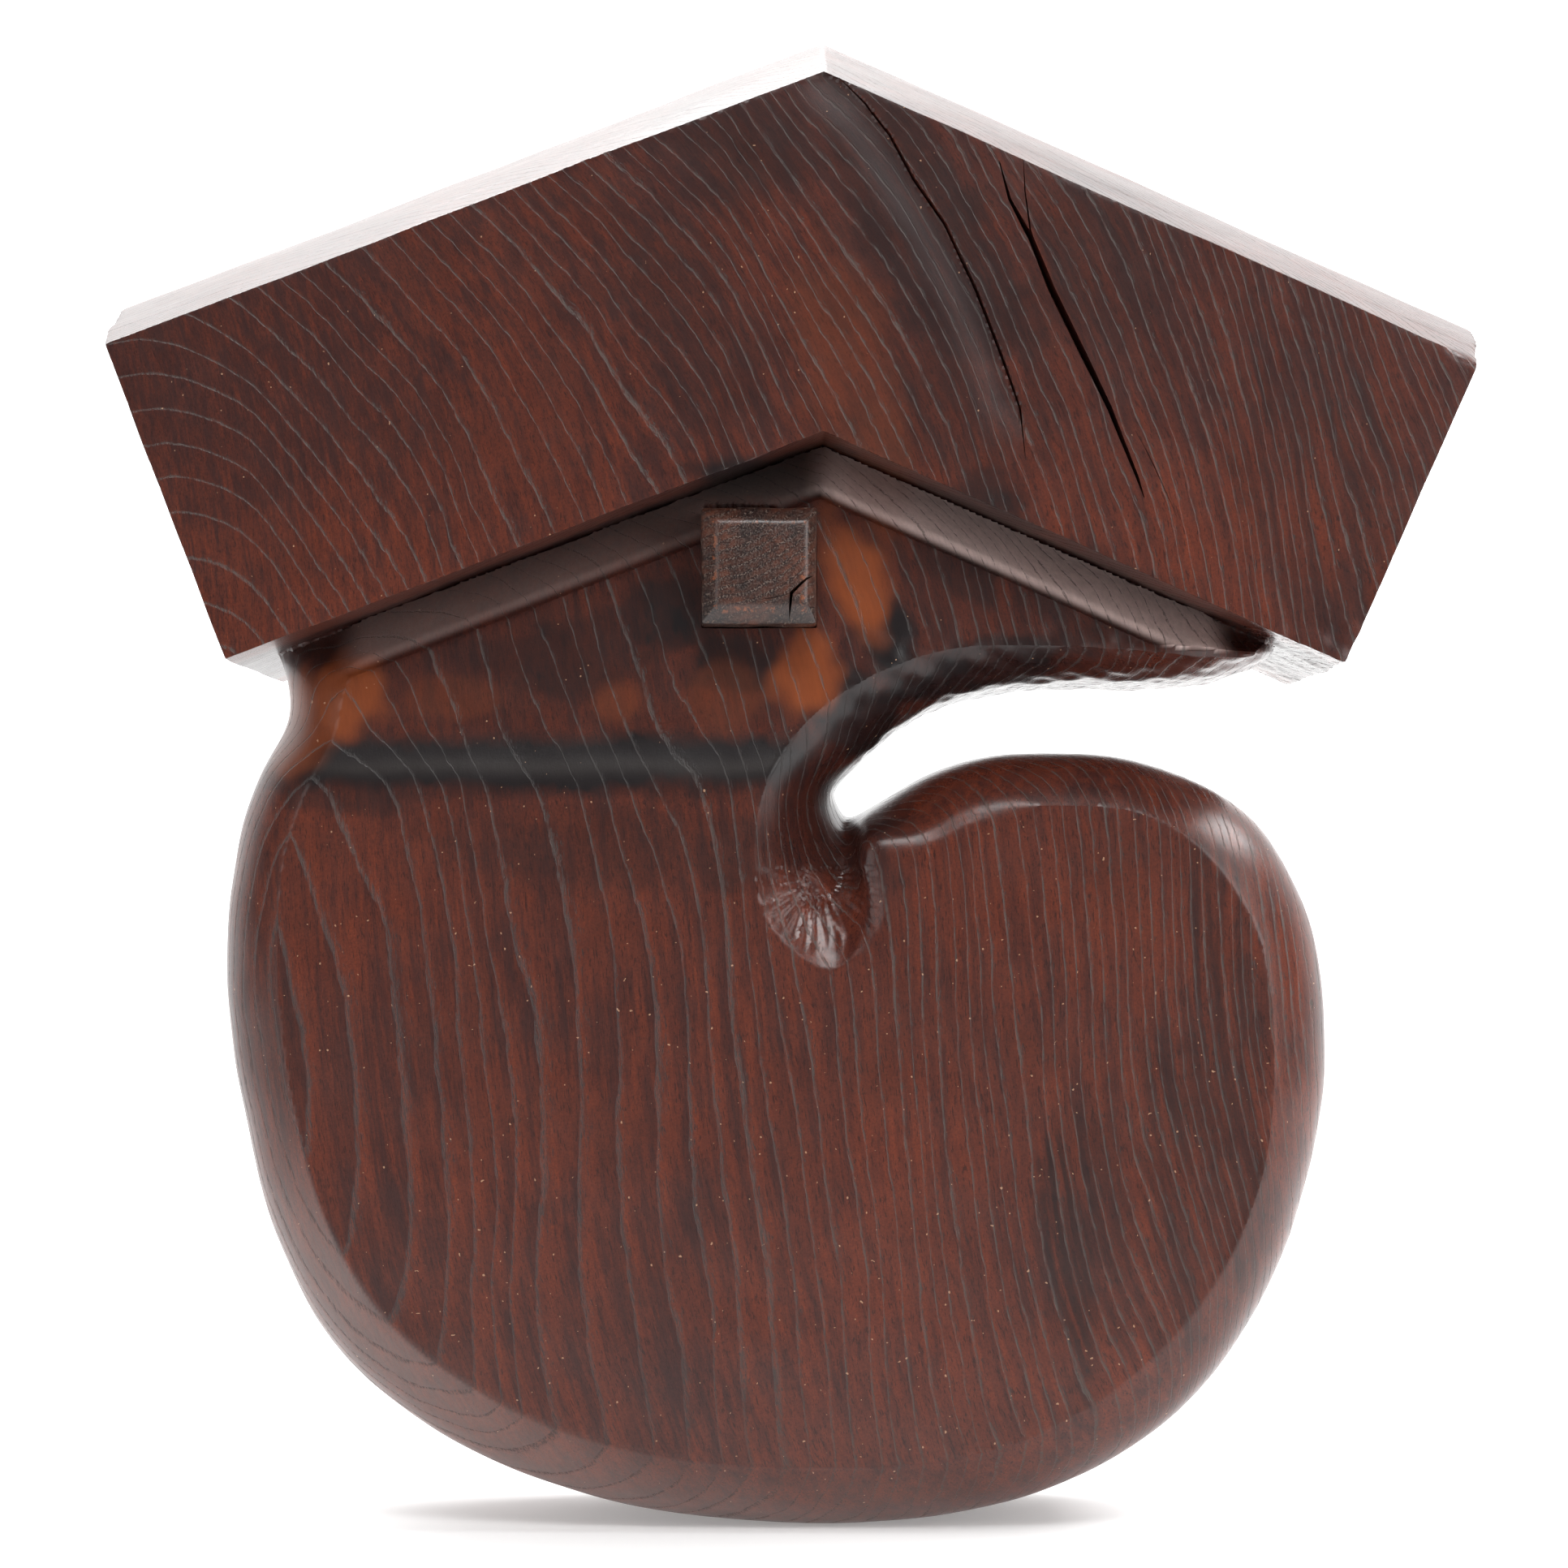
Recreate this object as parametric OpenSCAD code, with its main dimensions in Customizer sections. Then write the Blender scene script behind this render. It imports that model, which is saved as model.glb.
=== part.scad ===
// Roof-headed hanger hook carved from one block of wood, with a square rope peg through its neck.
// It hangs from a rope sling that passes under the peg, and a pot hanger hangs in its throat.
// Origin: centre of the peg. +X to the open side of the hook, +Y to the back, +Z up.

/* [Roof head] */
// Depth of the roof head, front face to back face
roof_depth = 160; // [130:1:200]
// Upright height of the roof head at its apex, eaves line to underside
roof_height = 105; // [85:1:120]
// Height of the ridge above the front edge of the roof
ridge_height = 22; // [5:0.5:35]
// How far the roof faces swell above flat, as a share of the ridge height
roof_swell = 0.3; // [0:0.05:0.5]
// Slope of the left arm, in degrees
left_slope = 20.9; // [19:0.1:23]
// Slope of the right arm, in degrees
right_slope = 24; // [22:0.1:26]
// Length of the left arm along its top edge
left_length = 223.5; // [215:1:260]
// Length of the right arm along its top edge
right_length = 208.5; // [200:1:240]

/* [Hook body] */
// Thickness of the neck and hook, front face to back face
body_thickness = 110; // [90:1:125]
// Angle at which the rounded edge leaves the flat face, in degrees
crease_angle = 30; // [5:1:45]

/* [Rope peg] */
// Width of the square peg
peg_width = 34; // [28:0.5:40]
// Height of the square peg
peg_height = 34.5; // [28:0.5:40]
// Length of the peg over both ends
peg_length = 146; // [130:1:158]
// How far the bevels run along the peg at each end
bevel_length = 4; // [2:0.5:9]
// How far the bevels take the sides in at each end
bevel_width = 4.5; // [1:0.5:8]

/* [Smoothness] */
// Longest step along the hook's outline
outline_step = 8; // [6:1:20]
// Bands between the flat face and the side wall
edge_bands = 6; // [4:1:8]

/* [Hidden] */
wood = [0.28, 0.12, 0.08];
peg_wood = [0.17, 0.10, 0.07];
// The roof's apex on its front edge, measured from the peg's centre
apex_x = 19;
apex_z = 143.5;
half_depth = roof_depth / 2;
// Thickness that the depths in the outline below are drawn for
drawn_thickness = 110;

// The body's outline, counter-clockwise from the neck's top left. Each row holds the rim of the
// side wall (x, z), the edge of the flat face beside it (x, z), the depth from face to wall, and
// 1 where outline and edge are rounded or 0 where they are straight.
// TOP_LEFT and TOP_RIGHT lie inside the roof head, so that the two join.
TOP_LEFT = [
    [-150, -12, -121, -32, 26, 0]
];
NECK_LEFT = [
    [-142, -32, -123.5, -38, 25, 1],
    [-141.5, -42, -125, -47, 25, 1],
    [-150, -60, -131.5, -60, 25, 1],
    [-157, -82, -139.5, -83, 25, 1]
];
BOWL = [
    [-160, -113, -142, -113, 25, 1],
    [-155.5, -157, -138, -156, 25, 1],
    [-143.5, -201, -126, -195, 25, 1],
    [-128, -230, -112, -218.5, 25, 1],
    [-98, -256, -87, -239.5, 25, 1],
    [-50, -276, -45, -257.7, 25, 1],
    [10, -284.5, 10, -264.5, 25, 1],
    [60, -281, 55, -262.5, 25, 1],
    [98, -269, 89, -252.5, 25, 1],
    [131, -246, 117, -232.5, 25, 1],
    [153, -212, 137, -206.5, 25, 1],
    [166, -175, 149.5, -174, 25, 1],
    [169.7, -140, 152, -142, 25, 1],
    [163, -99, 146.5, -105, 25, 1]
];
HOOK_TOP = [
    [148, -74, 134.5, -86.5, 26, 1],
    [120, -58, 115, -73, 26, 1],
    [89, -53.5, 88, -70, 27, 1],
    [54, -58.5, 59, -73.5, 34, 1],
    [38, -67.5, 46, -79.5, 44, 1]
];
SEAT = [
    [30.5, -71.6, 31.5, -80, 50, 1],
    [28.6, -72.8, 29.5, -92, 50, 1],
    [27.6, -73.2, 33, -106, 50, 1],
    [26.6, -73, 22, -118.5, 50, 1],
    [25.4, -71.8, 5, -108, 50, 1],
    [23.9, -69, -1, -89, 50, 1],
    [23.2, -64.5, 1, -67, 50, 1]
];
THROAT = [
    [29, -57.5, 10, -50, 40, 1],
    [43, -45, 28, -34.5, 32, 1],
    [62, -36.3, 55, -24, 29, 1],
    [88, -32.6, 87, -22.7, 28, 1],
    [120, -32.5, 116, -24.5, 28, 1],
    [143, -29.5, 134, -26, 27, 1],
    [154, -23, 146, -26, 27, 1]
];
TOP_RIGHT = [
    [158, -14, 147, -24.5, 27, 0],
    [122, 1, 116, -22, 26, 0],
    [21, 45.5, 18, 21, 26, 0]
];
OUTLINE = concat(TOP_LEFT, NECK_LEFT, BOWL, HOOK_TOP, SEAT, THROAT, TOP_RIGHT);
ROWS = len(OUTLINE);
X_RIM = 0;
Z_RIM = 1;
X_FACE = 2;
Z_FACE = 3;
DEPTH = 4;
ROUND = 5;

// A row of the outline, counted round and round
function row(i) = OUTLINE[(i + ROWS) % ROWS];

// How far it is from a row to the next one, over its four coordinates
function chord(i) = norm([for (k = [X_RIM : Z_FACE]) row(i + 1)[k] - row(i)[k]]);

// The direction of the curve as it passes a row; a straight row is a corner and has none
function heading(i) =
    let (before = chord(i - 1), after = chord(i))
    row(i)[ROUND] * ((row(i + 1) - row(i)) * before / after + (row(i) - row(i - 1)) * after / before)
        / (before + after);

// A point between row i and the next one, at u from 0 to 1, on a cubic curve
function between(i, u) =
    let (length = chord(i), v = 1 - u)
    row(i) * (1 + 2 * u) * v * v + heading(i) * length * u * v * v
        + row(i + 1) * (1 + 2 * v) * u * u - heading(i + 1) * length * v * u * u;

// A stretch with a corner at both ends is one straight line
function steps(i) =
    row(i)[ROUND] + row(i + 1)[ROUND] == 0 ? 1 : max(4, ceil(chord(i) / outline_step / sqrt(2)));

// The outline's points, all the way round
loop = [for (i = [0 : ROWS - 1]) for (k = [0 : steps(i) - 1]) between(i, k / steps(i))];
COUNT = len(loop);

// The share of the way from the face's edge to the rim, and from the face to the wall, at t from
// 0 to 1: part of an ellipse where the edge is rounded, and a straight bevel where it isn't
function reach(t) =
    (sin(crease_angle + t * (90 - crease_angle)) - sin(crease_angle)) / (1 - sin(crease_angle));
function sink(t) = 1 - cos(crease_angle + t * (90 - crease_angle)) / cos(crease_angle);
function edge_point(p, t, side) =
    let (across = p[ROUND] * reach(t) + (1 - p[ROUND]) * t, in = p[ROUND] * sink(t) + (1 - p[ROUND]) * t)
    [
        p[X_FACE] + (p[X_RIM] - p[X_FACE]) * across,
        side * (drawn_thickness / 2 - p[DEPTH] * in),
        p[Z_FACE] + (p[Z_RIM] - p[Z_FACE]) * across
    ];

// The outline's points at each band, from the front face's edge round to the back face's edge
rings = concat(
    [for (k = [0 : edge_bands]) [for (p = loop) edge_point(p, k / edge_bands, -1)]],
    [for (k = [edge_bands : -1 : 0]) [for (p = loop) edge_point(p, k / edge_bands, 1)]]
);

// The neck, hook and throat as one closed skin: a flat face, the rings and the other flat face.
// It is drawn at drawn_thickness and then stretched in depth to body_thickness.
module body() {
    last = len(rings) - 1;
    points = [for (ring = rings) each ring];
    front = [for (i = [COUNT - 1 : -1 : 0]) i];
    back = [for (i = [0 : COUNT - 1]) last * COUNT + i];
    sides = [
        for (k = [0 : last - 1], i = [0 : COUNT - 1])
            let (j = (i + 1) % COUNT, a = k * COUNT + i, b = k * COUNT + j)
            each [[a, b + COUNT, a + COUNT], [a, b, b + COUNT]]
    ];
    resize([0, body_thickness, 0])
        polyhedron(points, concat([front, back], sides), convexity = 8);
}

// Flat strips on each side of the ridge
roof_faces = 6;
// The roof's cross-section as [y, upright height], from the lower front corner over the ridge
roof_section = concat(
    [[-half_depth, -roof_height]],
    [
        for (k = [-roof_faces : roof_faces])
            let (s = 1 - abs(k) / roof_faces)
            [half_depth * k / roof_faces, ridge_height * ((1 + roof_swell) * s - roof_swell * s * s)]
    ],
    [[half_depth, -roof_height]]
);
CORNERS = len(roof_section);

// The section moved along an arm and leaned over until it is square to it; side is -1 on the left
function arm_end(side, slope, length) = [
    for (p = roof_section)
        [
            apex_x + side * (length * cos(slope) + p[1] * cos(slope) * sin(slope)),
            p[0],
            apex_z - length * sin(slope) + p[1] * cos(slope) * cos(slope)
        ]
];

// Both arms as one solid: the two ends and the upright section where the arms meet
module roof() {
    middle = [for (p = roof_section) [apex_x, p[0], apex_z + p[1]]];
    points = concat(arm_end(-1, left_slope, left_length), middle, arm_end(1, right_slope, right_length));
    left_end = [for (i = [CORNERS - 1 : -1 : 0]) i];
    right_end = [for (i = [0 : CORNERS - 1]) 2 * CORNERS + i];
    strips = [
        for (k = [0, 1], i = [0 : CORNERS - 1])
            let (j = (i + 1) % CORNERS)
            [k * CORNERS + i, k * CORNERS + j, (k + 1) * CORNERS + j, (k + 1) * CORNERS + i]
    ];
    polyhedron(points, concat([left_end, right_end], strips), convexity = 4);
}

// Square hole for the peg, right through the neck
module mortise() {
    cube([peg_width, roof_depth, peg_height], center = true);
}

// Roof head, neck and hook in one piece of wood
module hook_block() {
    color(wood) difference() {
        union() {
            roof();
            body();
        }
        mortise();
    }
}

// Square peg, with its four sides bevelled in at both ends
module rope_peg() {
    shank = peg_length - 2 * bevel_length;
    color(peg_wood) hull() {
        cube([peg_width, shank, peg_height], center = true);
        cube([peg_width - 2 * bevel_width, peg_length, peg_height - 2 * bevel_width], center = true);
    }
}

hook_block();
rope_peg();
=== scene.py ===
import math

import bmesh
import bpy
import numpy as np
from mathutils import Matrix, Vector, kdtree


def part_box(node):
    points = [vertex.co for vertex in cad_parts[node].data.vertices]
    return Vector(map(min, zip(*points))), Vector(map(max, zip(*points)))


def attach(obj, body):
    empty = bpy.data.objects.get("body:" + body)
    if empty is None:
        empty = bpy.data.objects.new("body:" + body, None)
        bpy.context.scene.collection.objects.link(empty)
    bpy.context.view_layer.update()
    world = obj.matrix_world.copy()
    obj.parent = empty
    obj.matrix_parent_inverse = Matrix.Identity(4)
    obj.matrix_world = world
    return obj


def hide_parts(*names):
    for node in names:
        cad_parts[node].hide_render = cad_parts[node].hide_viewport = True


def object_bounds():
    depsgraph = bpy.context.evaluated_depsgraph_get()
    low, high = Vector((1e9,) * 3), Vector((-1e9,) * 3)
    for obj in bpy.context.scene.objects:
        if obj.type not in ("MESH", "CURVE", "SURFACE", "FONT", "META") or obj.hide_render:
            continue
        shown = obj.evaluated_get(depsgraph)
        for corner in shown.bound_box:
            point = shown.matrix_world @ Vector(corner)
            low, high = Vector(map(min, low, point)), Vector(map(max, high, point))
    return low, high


# Visual model of the roof-headed hanger hook: one carved block and its square peg, around the CAD
# frame. Shapes are worked out in millimetres in the frame's axes: +X to the open side of the
# hook, +Y to the back, +Z up, from the centre of the peg.

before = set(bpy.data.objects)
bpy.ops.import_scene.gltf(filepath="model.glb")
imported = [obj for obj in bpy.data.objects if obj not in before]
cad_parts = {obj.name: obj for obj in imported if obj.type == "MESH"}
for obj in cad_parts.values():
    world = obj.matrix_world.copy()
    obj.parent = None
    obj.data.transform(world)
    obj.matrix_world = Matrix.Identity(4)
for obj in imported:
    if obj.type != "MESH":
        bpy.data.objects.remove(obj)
cad_low, cad_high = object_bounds()

MM = 0.001
SEED = 11

block_low, block_high = (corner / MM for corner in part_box("hook_block"))
peg_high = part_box("rope_peg")[1] / MM
ROOF_FACE = block_high.y        # flat front and back faces of the roof head, at -Y and +Y
NECK_FACE = 55.0                # flat front and back faces of the hook
FLOOR_Z = block_low.z

GRID, QUICK_GRID = 0.95, 1.6
NECK_RECESS = 2.6               # how far the neck is cut back from the hook's face
BEVEL_SWELL = 2.6               # how far the bevels under the roof bulge at half their width
SUNK_DEPTH = 1.5                # how far the wood beside the long crack has sunk
ROOF_INSET = 0.25               # how far the roof's faces lie inside the box, to leave room for waves
BOX_MARGIN = 0.02               # the least distance from the box
FACET_HOLLOW = 0.45             # depth of the hollow facets below the seat


# ---------------------------------------------------------------------------------------------
# Mesh helpers
# ---------------------------------------------------------------------------------------------

def read_points(mesh):
    """A mesh's vertices in millimetres."""
    flat = np.empty(len(mesh.vertices) * 3)
    mesh.vertices.foreach_get("co", flat)
    return flat.reshape(-1, 3) / MM


def write_points(mesh, points):
    """Sets a mesh's vertices from millimetres."""
    mesh.vertices.foreach_set("co", (points * MM).ravel())
    mesh.update()


def normals_of(mesh):
    mesh.update()
    flat = np.empty(len(mesh.vertices) * 3)
    mesh.vertex_normals.foreach_get("vector", flat)
    return flat.reshape(-1, 3)


def apply_modifiers(piece):
    """Replaces the piece's mesh with what its modifiers make of it."""
    bpy.context.view_layer.update()
    evaluated = piece.evaluated_get(bpy.context.evaluated_depsgraph_get())
    made = bpy.data.meshes.new_from_object(evaluated)
    piece.modifiers.clear()
    old, piece.data = piece.data, made
    bpy.data.meshes.remove(old)


def voxel_remesh(piece, size):
    remesh = piece.modifiers.new("remesh", "REMESH")
    remesh.mode = "VOXEL"
    remesh.voxel_size = size * MM
    apply_modifiers(piece)


def wrap_on(piece, target):
    """Moves every point to the nearest place on the target's surface."""
    wrap = piece.modifiers.new("wrap", "SHRINKWRAP")
    wrap.target = target
    wrap.wrap_method = "NEAREST_SURFACEPOINT"
    apply_modifiers(piece)


def smooth(mesh, rounds, strength=None):
    """Moves each point half way to the mean of its neighbours, as far as its strength lets it."""
    ends = np.empty(len(mesh.edges) * 2, np.int64)
    mesh.edges.foreach_get("vertices", ends)
    a, b = ends.reshape(-1, 2).T
    points = read_points(mesh)
    count = len(points)
    neighbours = np.bincount(a, minlength=count) + np.bincount(b, minlength=count)
    share = np.full(count, 0.5) if strength is None else 0.5 * strength
    for _ in range(rounds):
        total = np.stack([
            np.bincount(a, points[b, k], count) + np.bincount(b, points[a, k], count)
            for k in range(3)
        ], axis=1)
        points += (total / neighbours[:, None] - points) * share[:, None]
    write_points(mesh, points)


def spread(mesh, moves, rounds):
    """Evens out a list of moves, one for each point, over the surface."""
    kept = read_points(mesh)
    write_points(mesh, moves)
    smooth(mesh, rounds)
    moves = read_points(mesh)
    write_points(mesh, kept)
    return moves


def ramp(value, low, high):
    """Smooth step: 0 at low, 1 at high."""
    t = np.clip((value - low) / (high - low), 0, 1)
    return t * t * (3 - 2 * t)


def wave_noise(points, size, seed, waves=10):
    """Smooth noise of about -1 to 1 whose lumps measure about size, as a sum of plane waves."""
    random = np.random.default_rng(seed)
    total = np.zeros(len(points))
    for _ in range(waves):
        direction = random.normal(size=3)
        direction /= np.linalg.norm(direction)
        pitch = size * random.uniform(1.2, 2.6)
        total += np.sin(points @ direction * math.tau / pitch + random.uniform(0, math.tau))
    return total / math.sqrt(waves)


def polyline_distance(x, z, path):
    """Distance from each (x, z) to a path, and which side it is on: positive on the path's right."""
    nearest = np.full(len(x), 1e9)
    side = np.zeros(len(x))
    for (x0, z0), (x1, z1) in zip(path, path[1:]):
        along_x, along_z = x1 - x0, z1 - z0
        t = np.clip(((x - x0) * along_x + (z - z0) * along_z) / (along_x ** 2 + along_z ** 2), 0, 1)
        off_x, off_z = x - x0 - t * along_x, z - z0 - t * along_z
        distance = np.hypot(off_x, off_z)
        closer = distance < nearest
        nearest[closer] = distance[closer]
        side[closer] = np.sign(off_x * along_z - off_z * along_x)[closer]
    return nearest, side


def add_attribute(mesh, name, values):
    layer = mesh.attributes.new(name, "FLOAT", "POINT")
    layer.data.foreach_set("value", values.astype(np.float32))


def new_piece(name, mesh):
    piece = bpy.data.objects.new(name, mesh)
    bpy.context.scene.collection.objects.link(piece)
    return piece


def groove(name, path, widths, face_y, depth):
    """A jagged V-shaped wedge along an (x, z) path, that cuts a crack into a face at face_y."""
    out = math.copysign(1.0, face_y)
    mesh = bpy.data.meshes.new(name)
    made = bmesh.new()
    rows = []
    last = len(path) - 1
    for i, ((x, z), width) in enumerate(zip(path, widths)):
        (xa, za), (xb, zb) = path[max(i - 1, 0)], path[min(i + 1, last)]
        length = math.hypot(xb - xa, zb - za)
        across = ((zb - za) / length, -(xb - xa) / length)
        bottom = depth * (0.35 if i in (0, last) else 1.0)
        rows.append([
            made.verts.new(Vector((x - across[0] * width / 2, face_y + out, z - across[1] * width / 2)) * MM),
            made.verts.new(Vector((x + across[0] * width / 2, face_y + out, z + across[1] * width / 2)) * MM),
            made.verts.new(Vector((x, face_y - out * bottom, z)) * MM),
        ])
    for near, far in zip(rows, rows[1:]):
        for k in range(3):
            made.faces.new((near[k], near[k - 1], far[k - 1], far[k]))
    made.faces.new(rows[0])
    made.faces.new(rows[-1][::-1])
    bmesh.ops.triangulate(made, faces=made.faces)
    bmesh.ops.recalc_face_normals(made, faces=made.faces)
    made.to_mesh(mesh)
    made.free()
    return new_piece(name, mesh)


def cut(piece, cutters):
    for cutter in cutters:
        boolean = piece.modifiers.new(cutter.name, "BOOLEAN")
        boolean.operation = "DIFFERENCE"
        boolean.solver = "MANIFOLD"
        boolean.object = cutter
    apply_modifiers(piece)
    for cutter in cutters:
        bpy.data.objects.remove(cutter)


def shade(mesh):
    """Smooth shading, with crisp edges where faces meet at an angle."""
    mesh.shade_smooth()
    mesh.set_sharp_from_angle(angle=math.radians(24))


# ---------------------------------------------------------------------------------------------
# The carved block
# ---------------------------------------------------------------------------------------------

# Drying cracks on the front of the roof head, as (x, z) points from top to bottom. The wood has
# sunk a little on the left of the long one.
LONG_CRACK = [(22, 143), (31, 134), (38, 125), (45, 112), (54, 99), (63, 80), (70, 62), (76, 45), (77.5, 31)]
OPEN_CRACK = [(70, 117), (73, 106), (79, 95), (85, 80), (93.5, 62.5), (102, 45), (110, 25), (112, 19)]
SIDE_CRACK = [(77, 118), (77.5, 108), (79, 97), (82, 88)]
FINE_CRACK = [(109.5, 39), (114.5, 29), (122, 12.6)]

# Where the rope sling kept the soot off: x, z, half-width, half-height, lean in degrees, strength
BARE_PATCHES = [
    (29, -2, 9, 19, 14, 1.0),
    (35, 26, 9, 20, -4, 0.35),
    (25, 62, 14, 32, 4, 0.26),
    (13.5, -31, 10, 12, 0, 1.0),
    (-121, -38, 11, 11, 0, 0.95),
    (-137, -45, 12, 14, -30, 0.7),
    (-11, -38, 11, 12, 0, 0.2),
    (-41, -39, 7, 6.5, 0, 0.28),
    (-92, -38, 14, 6, 0, 0.16),
]
# Where soot and oil have darkened the wood: the same values
DARK_PATCHES = [
    (-50, -25, 34, 14, 10, 0.55),
    (-26, -14, 16, 14, 0, 0.65),
    (-8, -29, 20, 10, 0, 0.75),
    (39, -22, 9, 14, 10, 0.9),
    (5, 26, 26, 5, 0, 0.8),
    (62, 8, 20, 18, -20, 0.6),
    (100, -10, 40, 12, -25, 0.5),
    (-8, 123, 26, 17, -20, 0.35),
    (47, 100, 17, 54, 26, 0.5),
    (98, 92, 22, 26, 0, 0.2),
    (-20, 70, 16, 34, 25, 0.2),
    (56, 42, 26, 22, 0, 0.3),
    (30, -42, 13, 16, 30, 0.8),
    (64, -29, 38, 8, 12, 0.75),
    (18, -75, 26, 16, -20, 0.5),
    (-30, -80, 60, 14, 0, 0.35),
    (-120, -64, 26, 8, 0, 0.5),
]

# Where dark stripes follow the growth rings: the same values
STRIPED_PATCHES = [
    (92, -203, 8, 42, 3, 0.7),
    (104, -190, 8, 34, 3, 0.4),
    (138, -150, 12, 76, 4, 0.5),
    (122, -188, 9, 54, 4, 0.5),
    (96, 92, 26, 30, 20, 0.2),
    (165, 20, 26, 50, 20, 0.4),
]

# Where the lip of the throat is worn round: x, z, and the radii of full wear and of none
WORN_LIPS = [(50, -76, 18, 34), (37, -98, 9, 20)]
# Corners of the roof head that are worn round, as (x, z)
ROUNDED_CORNERS = [(207, 64), (-197, 77)]

# The worn seat of the pot hanger: where its facets fan out from, and how many a half turn takes
FAN_CENTRE = (19, -92)
FAN_FACETS = 13


def on_hook(points):
    """True on the neck and hook, below the underside of the roof head."""
    x, y, z = points.T
    underside = 42 - np.where(x < 19, 0.382 * (19 - x), 0.445 * (x - 19))
    return (np.abs(y) < NECK_FACE + 1.5) & (z < underside)


def sling_line(x):
    """Height of the step where the recessed neck meets the hook; it climbs at the right."""
    return -57 + 5 * ramp(x, -2, 24)


def shoulder_mask(points, normals):
    """1 on the bevels that lead from the neck's faces up and back to the roof's underside."""
    x, y, z = points.T
    above_face = z - 21 + np.where(x > 18, 0.439 * (x - 18), 0.381 * (18 - x))
    facing = ramp(normals[:, 2], -0.1, 0.0) * ramp(-x, -142, -132) * ramp(x, -128, -116)
    in_band = ramp(above_face, 0.5, 3.5) * (1 - ramp(above_face, 19, 25))
    return facing * in_band * (np.abs(y) < NECK_FACE + 0.5)


def throat_mask(points, normals):
    """1 on the inner walls of the throat, that the hanger has rubbed."""
    x, y, z = points.T
    walls = ramp(np.hypot(normals[:, 0], normals[:, 2]), 0.8, 0.95)
    return walls * ramp(z, -92, -80) * (1 - ramp(z, -22, -14)) * ramp(x, 15, 20)


def patch_mask(points, patches, seed):
    """How strongly each point lies in one of the patches, which have soft, uneven edges."""
    x, z = points[:, 0], points[:, 2]
    wobble = 0.16 * wave_noise(points, 14, seed) + 0.1 * wave_noise(points, 5, seed + 1)
    mask = np.zeros(len(points))
    for patch_x, patch_z, half_width, half_height, lean, strength in patches:
        c, s = math.cos(math.radians(lean)), math.sin(math.radians(lean))
        across = ((x - patch_x) * c + (z - patch_z) * s) / half_width
        up = ((z - patch_z) * c - (x - patch_x) * s) / half_height
        inside = 1 - ramp(np.hypot(across, up) + wobble, 0.62, 1.38)
        mask = np.maximum(mask, inside * strength)
    return mask


def sharp_edges(mesh, degrees):
    """A search tree of points along the edges where two faces meet at more than this angle."""
    made = bmesh.new()
    made.from_mesh(mesh)
    bmesh.ops.remove_doubles(made, verts=made.verts, dist=0.01 * MM)
    spots = []
    for edge in made.edges:
        if len(edge.link_faces) == 2 and edge.calc_face_angle() > math.radians(degrees):
            a, b = (v.co / MM for v in edge.verts)
            steps = max(1, int((b - a).length / 0.5))
            spots += [a.lerp(b, k / steps) for k in range(steps + 1)]
    made.free()
    tree = kdtree.KDTree(len(spots))
    for i, spot in enumerate(spots):
        tree.insert(spot, i)
    tree.balance()
    return tree


def weld(mesh, distance):
    """Joins points that lie closer than this many millimetres."""
    made = bmesh.new()
    made.from_mesh(mesh)
    bmesh.ops.remove_doubles(made, verts=made.verts, dist=distance * MM)
    made.to_mesh(mesh)
    made.free()


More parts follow.
